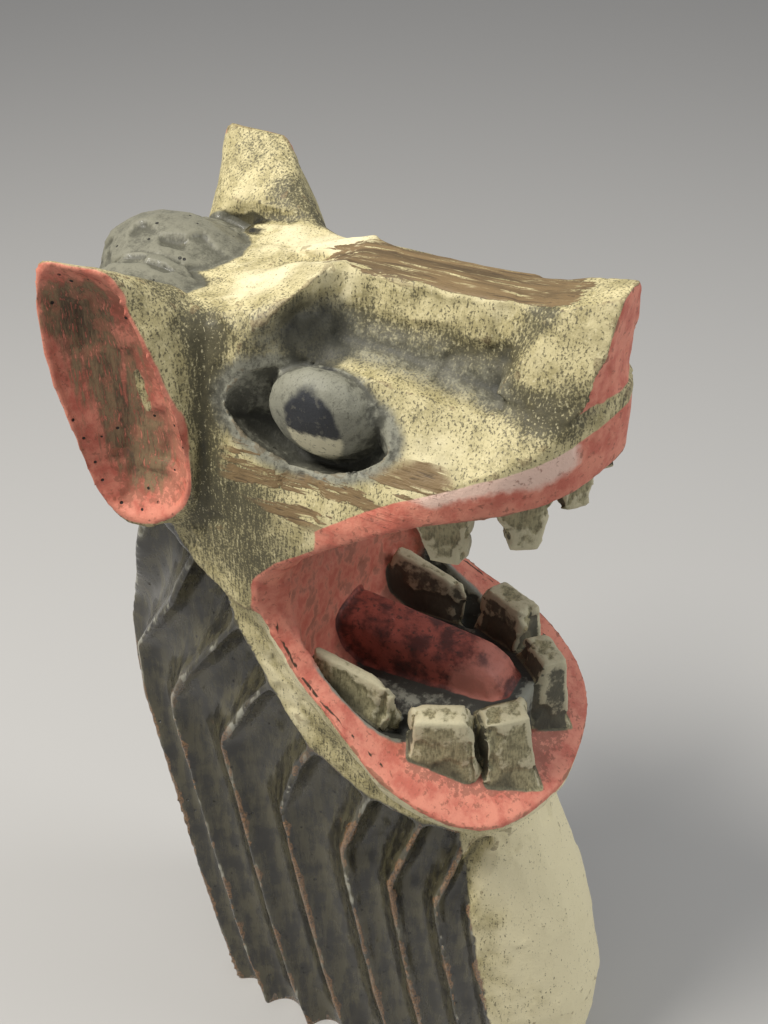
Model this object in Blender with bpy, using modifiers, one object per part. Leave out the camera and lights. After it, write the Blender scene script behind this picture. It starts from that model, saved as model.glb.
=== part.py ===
"""Painted wooden figurehead: a roaring beast's head on a fluted neck, carved from one block.

The carving is described in carver's units: 1 unit is 1 mm on a figure 450 mm tall. A point is
given as (forward, side, up): forward from the back of the neck's foot towards the snout, side
from the middle plane, up from the underside. The row frame has the snout towards -Y, the
beast's left towards +X, +Z up, and its origin on the underside.
"""

import math

import bmesh
import bpy
from mathutils import Matrix, Vector

# Driving dimensions
FIGURE_HEIGHT = 0.45  # underside of the neck to the tips of the ears, in metres
DRAWN_HEIGHT = 450.0  # the same height in carver's units
UNIT = FIGURE_HEIGHT / DRAWN_HEIGHT
FOOT_CENTRE = 95.0  # forward place of the origin, under the middle of the foot

# Neck and mane
FLUTE_DEPTH = 9.0
SPARE_FOOT = 8.0  # wood below the underside, sawn off flat at the end

# Ears
EAR_CUP_DEPTH = 13.0
EAR_FULLNESS = 1.03  # share by which the rim stands outside its drawn line

# Mouth
TONGUE_HALF_WIDTH = 13.0

# Fineness of the carved skin
SKIN_VOXEL = 2.2
SKIN_FACES = 9300  # triangles on the finished solid


def at(forward, side, up):
    """A point of the carving in the row frame, in metres."""
    return Vector((side, FOOT_CENTRE - forward, up)) * UNIT


def blend(low, high, share):
    return low + (high - low) * share


def ease(share):
    share = min(max(share, 0.0), 1.0)
    return share * share * (3 - 2 * share)


def read_table(table, key):
    """The row of values at key, eased between the rows of a table whose first column is the key."""
    rows = sorted(table)
    if key <= rows[0][0]:
        return rows[0][1:]
    for before, after in zip(rows, rows[1:]):
        if key <= after[0]:
            share = (key - before[0]) / (after[0] - before[0])
            return tuple(blend(a, b, share) for a, b in zip(before[1:], after[1:]))
    return rows[-1][1:]


def bow(value, square):
    """A cosine or sine drawn out towards a rounded square as square grows above 2."""
    return math.copysign(abs(value) ** (2.0 / square), value)


def loft(rings):
    """A closed bmesh through rings of points, each ring a list of the same length."""
    mesh = bmesh.new()
    rows = [[mesh.verts.new(point) for point in ring] for ring in rings]
    count = len(rows[0])
    for lower, upper in zip(rows, rows[1:]):
        for i in range(count):
            j = (i + 1) % count
            mesh.faces.new((lower[i], lower[j], upper[j], upper[i]))
    mesh.faces.new(list(reversed(rows[0])))
    mesh.faces.new(rows[-1])
    bmesh.ops.triangulate(mesh, faces=[f for f in mesh.faces if len(f.verts) > 4])
    bmesh.ops.recalc_face_normals(mesh, faces=mesh.faces)
    return mesh


def ball(centre, radii, turn=None):
    """An ellipsoid with its middle at centre. Turn is a rotation matrix about the centre."""
    mesh = bmesh.new()
    bmesh.ops.create_uvsphere(mesh, u_segments=28, v_segments=18, radius=1.0)
    across, along, tall = radii
    scale = Matrix.Diagonal((across * UNIT, along * UNIT, tall * UNIT, 1.0))
    placed = Matrix.Translation(at(*centre)) @ (turn or Matrix.Identity(4)) @ scale
    bmesh.ops.transform(mesh, matrix=placed, verts=mesh.verts)
    return mesh


def mirrored(mesh):
    """A copy of a bmesh on the other side of the middle plane."""
    other = mesh.copy()
    bmesh.ops.scale(other, vec=(-1, 1, 1), verts=other.verts)
    bmesh.ops.reverse_faces(other, faces=other.faces)
    return other


def both_sides(mesh):
    return [mesh, mirrored(mesh)]


def put_together(name, meshes, collection):
    """One object from several closed bmeshes, which may overlap."""
    data = bpy.data.meshes.new(name)
    whole = bmesh.new()
    for mesh in meshes:
        piece = bpy.data.meshes.new("piece")
        mesh.to_mesh(piece)
        mesh.free()
        whole.from_mesh(piece)
        bpy.data.meshes.remove(piece)
    whole.to_mesh(data)
    whole.free()
    thing = bpy.data.objects.new(name, data)
    collection.objects.link(thing)
    return thing


# The neck and its mane

# up, back, front, half width, squareness of the back
NECK_LEVELS = [
    (-SPARE_FOOT, -5, 192, 53, 4.2),
    (0, -6, 193, 53, 4.2),
    (35, -15, 198, 54, 4.0),
    (66, -23, 199, 54, 3.8),
    (125, -35, 186, 54, 3.5),
    (166, -44, 169, 53, 3.3),
    (205, -51, 155, 53, 3.2),
    (235, -51, 142, 53, 3.0),
    (275, -42, 135, 52, 3.0),
    (310, -43, 120, 50, 3.0),
    (340, -46, 100, 47, 3.0),
    (375, -49, 60, 45, 3.0),
    (400, -45, 50, 41, 2.8),
    (416, -32, 40, 34, 2.6),
]
# the ridge beside each lock of the mane: distance round the neck from the nape, height of its bend
LOCK_RIDGES = [
    (0, 450),
    (26, 250),
    (50, 236),
    (74, 216),
    (102, 200),
    (128, 172),
    (158, 158),
    (180, 145),
    (202, 140),
    (218, 138),
]
# distance from the nape, top of the locks
MANE_EDGE = [
    (0, 440),
    (60, 425),
    (76, 345),
    (92, 318),
    (110, 276),
    (132, 248),
    (150, 223),
    (171, 206),
    (189, 195),
    (218, 186),
]
LOCK_LEAN = 0.8  # a hollow is deepest a little towards the nape
LOCK_CREST = 0.14  # share of the depth that the crest beside a hollow keeps flat
LOCK_SWEEP = 0.5  # a lock leans this far towards the cheek for each unit above its bend
MANE_STEPS = 78
THROAT_STEPS = 30


def half_outline(up):
    """Points round one side of the neck, each with its distance from the nape."""
    back, front, half, power = read_table(NECK_LEVELS, up)
    middle = blend(back, front, 0.45)
    fine = 260
    dense = []
    for i in range(fine + 1):
        angle = math.pi * i / fine
        behind = angle < math.pi / 2
        reach = middle - back if behind else front - middle
        square = power if behind else 2.3
        dense.append((middle - reach * bow(math.cos(angle), square), half * bow(math.sin(angle), square)))
    length = [0.0]
    for a, b in zip(dense, dense[1:]):
        length.append(length[-1] + math.dist(a, b))
    mane = LOCK_RIDGES[-1][0]
    places = [mane * i / MANE_STEPS for i in range(MANE_STEPS)]
    places += [blend(mane, length[-1], i / THROAT_STEPS) for i in range(THROAT_STEPS + 1)]
    points = []
    j = 0
    for place in places:
        while j < fine - 1 and length[j + 1] < place:
            j += 1
        share = (place - length[j]) / (length[j + 1] - length[j])
        points.append(tuple(blend(a, b, share) for a, b in zip(dense[j], dense[j + 1])) + (place,))
    return points


def flute_cut(place, up):
    """Depth of the gouged hollow at a distance from the nape, 0 on the ridge beside each lock."""
    (edge,) = read_table(MANE_EDGE, place)
    ridges = [ridge + LOCK_SWEEP * max(up - bend, 0.0) for ridge, bend in LOCK_RIDGES]
    for before, after in zip(ridges, ridges[1:]):
        if before <= place < after:
            share = (place - before) / (after - before)
            hollow = (1 - abs(2 * share**LOCK_LEAN - 1) ** 2.2) * min((after - before) / 24, 1.1)
            hollow = max(hollow - LOCK_CREST, 0.0) / (1 - LOCK_CREST)
            deeper = 2.5 * ease((up - edge + 90) / 60)
            return (FLUTE_DEPTH + deeper) * hollow * ease((edge - up) / 10)
    return 0.0


def neck():
    rings = []
    levels = 72
    low, high = NECK_LEVELS[0][0], NECK_LEVELS[-1][0]
    for k in range(levels + 1):
        up = blend(low, high, k / levels)
        half = half_outline(up)
        side = []
        for i in range(1, len(half) - 1):
            along = Vector(half[i + 1][:2]) - Vector(half[i - 1][:2])
            along.normalize()
            cut = flute_cut(half[i][2], up)
            side.append((half[i][0] + along.y * cut, max(half[i][1] - along.x * cut, 0.5)))
        near = [at(f, -w, up) for f, w in side]
        far = [at(f, w, up) for f, w in reversed(side)]
        nape, throat = at(half[0][0], 0, up), at(half[-1][0], 0, up)
        rings.append([nape] + near + [throat] + far)
    return loft(rings)


# The head, in sections from the nape forward. Each has its edge of the crown or the snout, the
# temple or the crease beside the snout, the cheek, and the upper and lower edge of the lip.
HEAD_SECTIONS = [
    (-26, (22, 414), (34, 406), (42, 386), (44, 356), (44, 340)),
    (0, (38, 425), (46, 420), (51, 394), (55, 356), (55, 330)),
    (22, (40, 427), (48, 422), (53, 396), (58, 358), (59, 312)),
    (42, (34, 428), (49, 418), (53, 402), (60, 366), (62, 300)),
    (49, (30, 430), (44, 420), (49, 405), (60, 364), (62, 300)),
    (57, (24, 434), (33, 428), (42, 411), (61, 362), (62, 318)),
    (66, (17, 439), (22, 428), (35, 413), (61, 355), (62, 327)),
    (71, (14, 440), (22, 415), (36, 412), (61, 353), (62, 332)),
    (82, (13, 440), (21, 414), (40, 412), (62, 357), (62, 342)),
    (100, (13, 440), (20, 412), (39, 412), (61, 366), (62, 355)),
    (112, (13, 440), (20, 411), (37, 409), (60, 374), (61, 362)),
    (125, (13, 440), (20, 409), (36, 406), (57, 381), (58, 368)),
    (138, (13, 441), (19, 407), (34, 404), (51, 385), (52, 372)),
    (146, (13, 441), (19, 406), (32, 403), (46, 387), (47, 374)),
]
# the round front of the upper lip: forward, half width, top and lower edge of the lip
LIP_FRONT = [
    (125, 57, 382, 367),
    (138, 52, 388, 370),
    (149, 46, 394, 372),
    (160, 37, 401, 374),
    (168, 28, 405, 377),
    (174, 17, 408, 380),
    (178, 5, 410, 382),
]
LIP_BULGE = [(130, 30, 405), (150, 29, 407), (163, 20, 411), (171, 10, 414), (175, 4, 413)]
# the nose with its wings, a block on the front of the snout
NOSE_CORNERS = [
    (151, 16, 442),
    (136, 29, 411),
    (164, 30, 407),
    (170, 27, 414),
    (174, 17, 431),
    (175, 9, 449),
]
NOSE_INSIDE = [(145, 0, 441), (175, 0, 450), (173, 0, 412), (140, 0, 408)]


def lip_height(forward):
    """Up of the lower edge of the upper lip."""
    edge = [(row[0], row[5][1]) for row in HEAD_SECTIONS if row[0] < 120]
    edge += [(forward, low) for forward, half, top, low in LIP_FRONT]
    return read_table(edge, forward)[0]


def head():
    rings = []
    for forward, crown, crease, cheek, lip_top, lip_edge in HEAD_SECTIONS:
        inside = (lip_edge[0] * 0.5, lip_edge[1] - 3)
        side = [crown, crease, cheek, lip_top, lip_edge, inside]
        near = [at(forward, -w, z) for w, z in side]
        far = [at(forward, w, z) for w, z in reversed(side)]
        middle_top = at(forward, 0, crown[1] + 0.5)
        middle_low = at(forward, 0, lip_edge[1] - 3)
        rings.append([middle_top] + near + [middle_low] + far)
    return loft(rings)


def hull(points):
    """The convex block whose corners are the points."""
    mesh = bmesh.new()
    for point in points:
        mesh.verts.new(point)
    made = bmesh.ops.convex_hull(mesh, input=mesh.verts)
    spare = [v for v in made["geom_interior"] if isinstance(v, bmesh.types.BMVert)]
    bmesh.ops.delete(mesh, geom=spare, context="VERTS")
    bmesh.ops.recalc_face_normals(mesh, faces=mesh.faces)
    return mesh


def muzzle_front():
    points = []
    for forward, half, top, low in LIP_FRONT:
        points += [(forward, half - 1, top), (forward, half, low), (forward, half, blend(low, top, 0.6))]
    points += LIP_BULGE
    return hull([at(f, -w, z) for f, w, z in points] + [at(f, w, z) for f, w, z in points])


def nose():
    corners = [at(f, -w, z) for f, w, z in NOSE_CORNERS] + [at(f, w, z) for f, w, z in NOSE_CORNERS]
    return hull(corners + [at(*corner) for corner in NOSE_INSIDE])


# forward, half width, underside
JAW_SECTIONS = [
    (8, 50, 326),
    (28, 58, 286),
    (43, 61, 260),
    (67, 64, 234),
    (91, 67, 215),
    (115, 68, 204),
    (134, 65, 199),
    (146, 61, 197),
    (156, 54, 197),
    (163, 45, 198),
    (168, 32, 200),
    (170.5, 20, 202),
    (172, 8, 203),
    (172.5, 3, 204),
]
# the line from the corner of the mouth down the edge of the cheek and along the lower jaw's rim
RIM_LINE = [
    (59, 318),
    (58, 302),
    (62, 290),
    (69, 279),
    (78, 268),
    (88, 259),
    (100, 250),
    (112, 243),
    (132, 233),
    (150, 222),
    (170, 211),
    (182, 205),
    (205, 196),
]
JAW_TWIST = 0.08  # the lower jaw hangs lower on the beast's right, more so towards the chin
JAW_SKEW = 0.12  # its left half reaches this much farther forward
JAW_SHIFT = 0.06  # and it swings over to the right


def rim_height(forward):
    """Up of the lower jaw's rim."""
    return read_table(RIM_LINE[2:], forward)[0]


def hang(forward, side, up):
    """A point of the lower jaw, which is carved out of square with the head."""
    share = ease((forward - 80) / 50)
    swung = side - JAW_SHIFT * (forward - 80) * share
    return at(forward + JAW_SKEW * side * share, swung, up + JAW_TWIST * side * share)


def lower_jaw():
    """The bowl of the lower jaw and the cheek above its hinge, before the gape is cut."""
    rings = []
    steps = 24
    for forward, half, bottom in JAW_SECTIONS:
        top = 345 if forward < 60 else rim_height(forward) + 14
        under = []
        for k in range(steps + 1):
            angle = math.pi * k / steps
            narrowing = 1 - 0.1 * math.sin(angle)
            side = half * narrowing * bow(math.cos(angle), 3.2)
            under.append(hang(forward, side, top - (top - bottom) * bow(math.sin(angle), 2.6)))
        rings.append(under)
    return loft(rings)


def tuft():
    """The forelock on the crown, where the mane starts."""
    return [
        ball((-20, 2, 418), (26, 32, 18)),
        ball((-10, -32, 417), (15, 25, 16)),
        ball((-22, 28, 408), (16, 26, 17)),
        ball((-34, 0, 394), (34, 18, 30)),
    ]


# The ears

# forward, side and up of the rim of the cup, round from its tip
EAR_RIM = [
    (-22, 76, 447),
    (-9, 75, 449),
    (5, 73, 448),
    (9, 72, 436),
    (15, 71, 422),
    (21, 69, 402),
    (26, 68, 386),
    (27, 67, 366),
    (23, 66, 350),
    (12, 66, 338),
    (-5, 68, 335),
    (-16, 70, 347),
    (-20, 74, 374),
    (-25, 76, 400),
    (-26, 76, 428),
]
# the same points where the ear meets the head
EAR_ROOT = [
    (-18, 42, 428),
    (-6, 42, 431),
    (14, 42, 432),
    (26, 44, 426),
    (31, 46, 414),
    (31, 49, 400),
    (30, 50, 384),
    (30, 50, 364),
    (28, 50, 346),
    (18, 50, 334),
    (-2, 48, 330),
    (-18, 46, 342),
    (-28, 44, 368),
    (-32, 42, 392),
    (-30, 40, 414),
]


def closed_curve(points, steps):
    """Evenly numbered points on a smooth closed curve through the given ones."""
    count = len(points)
    curve = []
    for i in range(steps):
        place = i * count / steps
        k = int(place)
        t = place - k
        a, b, c, d = (Vector(points[(k + n) % count]) for n in (-1, 0, 1, 2))
        bend = (2 * a - 5 * b + 4 * c - d) * t**2 + (3 * b - a - 3 * c + d) * t**3
        curve.append(b + 0.5 * ((c - a) * t + bend))
    return curve


def ear(lean=0.0, spread=1.0):
    """A cup on the side of the head. Lean moves the tip back, spread widens the rim."""
    steps = 45
    rim = closed_curve(EAR_RIM, steps)
    root = closed_curve(EAR_ROOT, steps)
    for point in rim:
        point.x = spread * point.x - lean * (point.z - 336) / 114
    centre = sum(rim, Vector()) / steps
    rim = [centre + (p - centre) * EAR_FULLNESS for p in rim]
    inward = Vector((3, -EAR_CUP_DEPTH, -2))
    cup = []
    for share, depth in ((0.92, 0.0), (0.7, 0.72), (0.45, 0.95), (0.2, 1.0)):
        cup.append([centre + (p - centre) * share + inward * depth for p in rim])
    waist = [a.lerp(b, 0.45) for a, b in zip(rim, root)]
    rings = [root, waist, rim] + cup
    return loft([[at(*p) for p in ring] for ring in rings])


# The mouth

BEVEL = 8.0  # the painted band round the corner of the mouth is a bevel this deep


def gape():
    """The opening from side to side between the lips, flared at the cheeks into the painted band."""
    rings = []
    for side, flare in ((-95, BEVEL), (-63, BEVEL), (-54, 0), (54, 0), (63, BEVEL), (95, BEVEL)):
        ring = [hang(f - flare * ease((95 - f) / 35), side, z) for f, z in RIM_LINE]
        for forward in (205, 178, 168, 160, 149, 138, 125, 112, 100, 82, 68):
            ring.append(at(forward - flare * ease((95 - forward) / 35), side, lip_height(forward)))
        rings.append(ring)
    return loft(rings)


# forward, half width, floor, roof
MOUTH_SECTIONS = [
    (60, 45, 262, 334),
    (64, 50, 250, 346),
    (80, 53, 240, 358),
    (100, 54, 231, 370),
    (112, 53, 232, 376),
    (120, 51, 242, 381),
    (136, 46, 244, 386),
    (148, 38, 244, 390),
    (158, 26, 244, 393),
    (165, 13, 244, 394),
]


def cavity():
    """The hollow behind the teeth: the floor round the tongue, the back wall and the palate."""
    rings = []
    steps = 32
    for forward, half, floor, roof in MOUTH_SECTIONS:
        middle, tall = (floor + roof) / 2, (roof - floor) / 2
        ring = []
        for k in range(steps):
            angle = 2 * math.pi * k / steps
            side = half * bow(math.cos(angle), 4)
            place = hang if math.sin(angle) < 0 else at
            ring.append(place(forward, side, middle + tall * bow(math.sin(angle), 4)))
        rings.append(ring)
    return loft(rings)


# forward, share of the full width, top, foot
TONGUE_SECTIONS = [
    (52, 0.95, 268, 240),
    (68, 1.0, 268, 238),
    (100, 1.0, 265, 228),
    (128, 1.0, 262, 214),
    (137, 0.9, 258, 210),
    (142, 0.65, 250, 208),
]


def tongue():
    """A long bar with rounded edges, left standing from the floor of the mouth."""
    rings = []
    steps = 20
    for forward, share, top, foot in TONGUE_SECTIONS:
        half = TONGUE_HALF_WIDTH * share
        middle, tall = (top + foot) / 2, (top - foot) / 2
        ring = []
        for k in range(steps):
            angle = 2 * math.pi * k / steps
            side = half * bow(math.cos(angle), 4)
            ring.append(at(forward, side, middle + tall * bow(math.sin(angle), 5)))
        rings.append(ring)
    return loft(rings)


def block(foot, foot_size, tip, tip_size, turn):
    """A tooth: a block cut from a wide foot to a narrow tip. Turn is about the upright, in degrees."""
    points = []
    for centre, (long, thick) in ((foot, foot_size), (tip, tip_size)):
        for i, j in ((-1, -1), (-1, 1), (1, 1), (1, -1)):
            spin = Matrix.Rotation(math.radians(turn), 2) @ Vector((i * long / 2, j * thick / 2))
            points.append(at(centre[0] + spin.x, centre[1] + spin.y, centre[2]))
    return hull(points)


def gum():
    """The raised floor between the lower teeth, with the tongue along its middle."""
    top = [(58, 34, 243), (110, 33, 243), (134, 28, 244), (148, 15, 248), (151, 0, 248)]
    edge = [(f, w * side, z) for f, w, z in top for side in (-1, 1)]
    return hull([at(*point) for point in edge] + [at(f, w, 205) for f, w, z in edge])


def lower_teeth():
    teeth = []
    for side in (-1, 1):
        tip = (148 + 2 * side, 19 * side, 254 + 4 * side)
        teeth.append(block((149, 19 * side, 212), (25, 21), tip, (20, 12), -43 * side))
        tip = (125 + side, 37 * side, 261 + 5 * side)
        teeth.append(block((125, 36 * side, 224), (30, 18), tip, (23, 12), -25 * side))
    wedge = [(64, 37, 271), (66, 43, 272), (94, 36, 264), (99, 41, 262), (103, 37, 254)]
    wedge += [(62, 30, 238), (64, 46, 240), (102, 31, 232), (94, 45, 235)]
    back = hull([at(f, -w, z) for f, w, z in wedge])
    return teeth + both_sides(back)


def upper_teeth():
    first = block((161, -13, 396), (20, 12), (166, -16, 365), (11, 8), 55)
    second = block((148, -28, 390), (26, 12), (154, -33, 353), (11, 8), 32)
    third = block((121, -41, 380), (32, 12), (127, -43, 344), (12, 7), 9)
    return [tooth for mesh in (first, second, third) for tooth in both_sides(mesh)]


# The eyes

EYE = (73, -46, 397)
EYE_TILT = Matrix.Rotation(math.radians(-25), 4, "Y")
EYE_TURN = Matrix.Rotation(math.radians(24), 4, "X")


def eye_socket():
    """The groove round the eye, cut deepest at its inner edge."""
    forward, side, up = EYE
    return ball((forward - 1, side - 6, up - 1), (12, 34, 29), EYE_TILT)


def eyeball():
    forward, side, up = EYE
    return ball((forward + 4, side + 3, up - 3), (13, 20, 22), EYE_TILT @ EYE_TURN)


# the edge of the brow, from the temple up to the root of the snout
BROW_EDGE = [(26, -46, 424), (44, -50, 419), (53, -46, 428), (60, -39, 436), (67, -18, 443)]
BROW_INSIDE = [(24, -12, 428), (40, -5, 434), (70, -8, 441), (30, -44, 404), (50, -42, 410), (66, -12, 424)]
FAR_BROW_DROP = 10  # the beast's left brow is cut lower than the right


def brow(drop=0):
    """The slab of the forehead over one eye, with an edge that overhangs."""
    raised = [at(f, w, z - drop * ease((-w - 10) / 25)) for f, w, z in BROW_EDGE + BROW_INSIDE]
    return hull(raised)


def brow_hollow():
    """The deep corner between the brow, the eye and the side of the snout."""
    turn = Matrix.Rotation(math.radians(-38), 4, "Z") @ Matrix.Rotation(math.radians(-22), 4, "Y")
    return ball((69, -36, 424), (15, 8, 13), turn)


def foot_saw():
    mesh = bmesh.new()
    bmesh.ops.create_cube(mesh, size=1.0)
    depth = 60 * UNIT
    size = Matrix.Diagonal((600 * UNIT, 600 * UNIT, depth, 1.0))
    bmesh.ops.transform(mesh, matrix=Matrix.Translation((0, 0, -depth / 2)) @ size, verts=mesh.verts)
    return mesh


def painted_wood():
    material = bpy.data.materials.new("painted_wood")
    material.use_nodes = True
    shader = material.node_tree.nodes["Principled BSDF"]
    shader.inputs["Base Color"].default_value = (0.52, 0.48, 0.33, 1.0)
    shader.inputs["Roughness"].default_value = 0.6
    shader.inputs["Metallic"].default_value = 0.0
    return material


def hide(thing):
    thing.hide_render = True
    thing.display_type = "WIRE"


def add_remesh(thing):
    remesh = thing.modifiers.new("skin", "REMESH")
    remesh.mode = "VOXEL"
    remesh.voxel_size = SKIN_VOXEL * UNIT
    remesh.adaptivity = 0.0
    return remesh


def add_boolean(thing, other, operation):
    boolean = thing.modifiers.new(other.name, "BOOLEAN")
    boolean.operation = operation
    boolean.object = other
    boolean.solver = "EXACT"
    return boolean


def settle(thing):
    """Replaces an object's mesh with what its modifiers make of it."""
    graph = bpy.context.evaluated_depsgraph_get()
    mesh = bpy.data.meshes.new_from_object(thing.evaluated_get(graph))
    thing.modifiers.clear()
    old = thing.data
    thing.data = mesh
    bpy.data.meshes.remove(old)


def main():
    for thing in list(bpy.data.objects):
        bpy.data.objects.remove(thing)
    figure = bpy.data.collections.new("ship_figurehead")
    tools = bpy.data.collections.new("cutters")
    for collection in (figure, tools):
        bpy.context.scene.collection.children.link(collection)

    masses = [neck(), head(), muzzle_front(), nose(), lower_jaw()] + tuft()
    masses += [ear(lean=12, spread=1.2), mirrored(ear())]
    masses += [brow(), mirrored(brow(FAR_BROW_DROP))]
    carving = put_together("figurehead", masses, figure)
    add_remesh(carving)
    cuts = [gape(), cavity()] + both_sides(eye_socket()) + both_sides(brow_hollow())
    for number, cut in enumerate(cuts):
        cutter = put_together(f"cut_{number}", [cut], tools)
        hide(cutter)
        add_boolean(carving, cutter, "DIFFERENCE")
    settle(carving)

    details = [gum(), tongue()] + lower_teeth() + upper_teeth() + both_sides(eyeball())
    added = put_together("details", details, tools)
    whole = bmesh.new()
    whole.from_mesh(carving.data)
    whole.from_mesh(added.data)
    whole.to_mesh(carving.data)
    whole.free()
    bpy.data.objects.remove(added)
    add_remesh(carving)
    smooth = carving.modifiers.new("worn", "SMOOTH")
    smooth.factor = 0.5
    smooth.iterations = 2
    settle(carving)

    thin = carving.modifiers.new("facets", "DECIMATE")
    thin.use_collapse_triangulate = True
    thin.ratio = SKIN_FACES / (2 * len(carving.data.polygons))
    saw = put_together("foot_saw", [foot_saw()], tools)
    hide(saw)
    add_boolean(carving, saw, "DIFFERENCE")
    carving.data.materials.clear()
    carving.data.materials.append(painted_wood())


main()
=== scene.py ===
import math

import bmesh
import bpy
import numpy as np
from mathutils import Matrix, Vector, noise
from mathutils.bvhtree import BVHTree
from mathutils.kdtree import KDTree


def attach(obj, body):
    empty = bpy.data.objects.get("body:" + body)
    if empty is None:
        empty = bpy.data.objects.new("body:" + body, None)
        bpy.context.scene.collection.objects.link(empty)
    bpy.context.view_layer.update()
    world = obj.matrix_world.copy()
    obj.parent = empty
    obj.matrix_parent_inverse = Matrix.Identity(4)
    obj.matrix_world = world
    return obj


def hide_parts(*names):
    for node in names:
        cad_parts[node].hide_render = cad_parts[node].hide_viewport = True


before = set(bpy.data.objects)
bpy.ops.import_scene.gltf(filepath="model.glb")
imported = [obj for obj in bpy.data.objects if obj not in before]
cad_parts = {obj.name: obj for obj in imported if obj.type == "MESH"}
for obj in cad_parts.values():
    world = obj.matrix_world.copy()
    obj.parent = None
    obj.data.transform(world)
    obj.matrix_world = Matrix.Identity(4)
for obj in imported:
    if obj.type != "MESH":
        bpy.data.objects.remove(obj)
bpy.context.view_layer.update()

# The neck and its mane
# A thick neck of the same block as the head, oval in section and sawn flat below. Long hollow
# gouge cuts run down its back and sides as locks of a mane, and the throat is left rounded.
# Lengths are in carver's units: 1 unit is 1 mm on a figure 450 mm tall. A point of the carving is
# (forward, side, up): forward from the back of the foot, side from the middle plane.
UNIT = 0.001
FOOT_CENTRE = 95.0
SPARE_FOOT = 8.0
FLUTE_DEPTH = 9.0
LOCK_LEAN = 0.8
LOCK_CREST = 0.14
LOCK_SWEEP = 0.5
THROAT_SQUARENESS = 2.3
MANE_STEPS = 150
THROAT_STEPS = 50
NECK_STEPS = 170
# up, back, front, half width, squareness of the back
NECK_LEVELS = [
    (-SPARE_FOOT, -5, 192, 53, 4.2),
    (0, -6, 193, 53, 4.2),
    (35, -15, 198, 54, 4.0),
    (66, -23, 199, 54, 3.8),
    (125, -35, 186, 54, 3.5),
    (166, -44, 169, 53, 3.3),
    (205, -51, 155, 53, 3.2),
    (235, -51, 142, 53, 3.0),
    (275, -42, 135, 52, 3.0),
    (310, -43, 120, 50, 3.0),
    (340, -46, 100, 47, 3.0),
    (375, -49, 60, 45, 3.0),
    (400, -45, 50, 41, 2.8),
    (416, -32, 40, 34, 2.6),
]
# the ridge beside each lock: distance round the neck from the nape, height of its bend
LOCK_RIDGES = [
    (0, 450),
    (26, 250),
    (50, 236),
    (74, 216),
    (102, 200),
    (128, 172),
    (158, 158),
    (180, 145),
    (202, 140),
    (218, 138),
]
# distance from the nape, top of the locks
MANE_EDGE = [
    (0, 440),
    (60, 425),
    (76, 345),
    (92, 318),
    (110, 276),
    (132, 248),
    (150, 223),
    (171, 206),
    (189, 195),
    (218, 186),
]


def at(forward, side, up):
    """A point of the carving in the row frame, in metres."""
    return Vector((side, FOOT_CENTRE - forward, up)) * UNIT


def blend(low, high, share):
    return low + (high - low) * share


def ease(share):
    share = min(max(share, 0.0), 1.0)
    return share * share * (3 - 2 * share)


def read_table(table, key):
    """The values at key, between the rows of a table whose first column is the key."""
    rows = sorted(table)
    if key <= rows[0][0]:
        return rows[0][1:]
    for before, after in zip(rows, rows[1:]):
        if key <= after[0]:
            share = (key - before[0]) / (after[0] - before[0])
            return tuple(blend(a, b, share) for a, b in zip(before[1:], after[1:]))
    return rows[-1][1:]


def bow(value, square):
    """A cosine or sine drawn out towards a rounded square as square grows above 2."""
    return math.copysign(abs(value) ** (2.0 / square), value)


def loft(rings, closed=True):
    """A bmesh through rings of points, each ring a list of the same length."""
    mesh = bmesh.new()
    rows = [[mesh.verts.new(point) for point in ring] for ring in rings]
    count = len(rows[0])
    for lower, upper in zip(rows, rows[1:]):
        for i in range(count):
            j = (i + 1) % count
            mesh.faces.new((lower[i], lower[j], upper[j], upper[i]))
    if closed:
        mesh.faces.new(list(reversed(rows[0])))
        mesh.faces.new(rows[-1])
        bmesh.ops.triangulate(mesh, faces=[f for f in mesh.faces if len(f.verts) > 4])
    bmesh.ops.recalc_face_normals(mesh, faces=mesh.faces)
    return mesh


def half_outline(up):
    """Points round one side of the neck, each with its distance from the nape."""
    back, front, half, power = read_table(NECK_LEVELS, up)
    middle = blend(back, front, 0.45)
    fine = 320
    dense = []
    for i in range(fine + 1):
        angle = math.pi * i / fine
        behind = angle < math.pi / 2
        reach = middle - back if behind else front - middle
        square = power if behind else THROAT_SQUARENESS
        dense.append((middle - reach * bow(math.cos(angle), square), half * bow(math.sin(angle), square)))
    length = [0.0]
    for a, b in zip(dense, dense[1:]):
        length.append(length[-1] + math.dist(a, b))
    mane = LOCK_RIDGES[-1][0]
    places = [mane * i / MANE_STEPS for i in range(MANE_STEPS)]
    places += [blend(mane, length[-1], i / THROAT_STEPS) for i in range(THROAT_STEPS + 1)]
    points = []
    j = 0
    for place in places:
        while j < fine - 1 and length[j + 1] < place:
            j += 1
        share = (place - length[j]) / (length[j + 1] - length[j])
        points.append(tuple(blend(a, b, share) for a, b in zip(dense[j], dense[j + 1])) + (place,))
    return points


def flute_cut(place, up):
    """Depth of the gouged hollow at a distance from the nape, 0 on the ridge beside each lock."""
    (edge,) = read_table(MANE_EDGE, place)
    ridges = [ridge + LOCK_SWEEP * max(up - bend, 0.0) for ridge, bend in LOCK_RIDGES]
    for before, after in zip(ridges, ridges[1:]):
        if before <= place < after:
            share = (place - before) / (after - before)
            hollow = (1 - abs(2 * share**LOCK_LEAN - 1) ** 2.2) * min((after - before) / 24, 1.1)
            hollow = max(hollow - LOCK_CREST, 0.0) / (1 - LOCK_CREST)
            deeper = 2.5 * ease((up - edge + 90) / 60)
            return (FLUTE_DEPTH + deeper) * hollow * ease((edge - up) / 10)
    return 0.0


neck_places = []  # points of the uncut neck, each with how far round from the nape it lies


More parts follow.
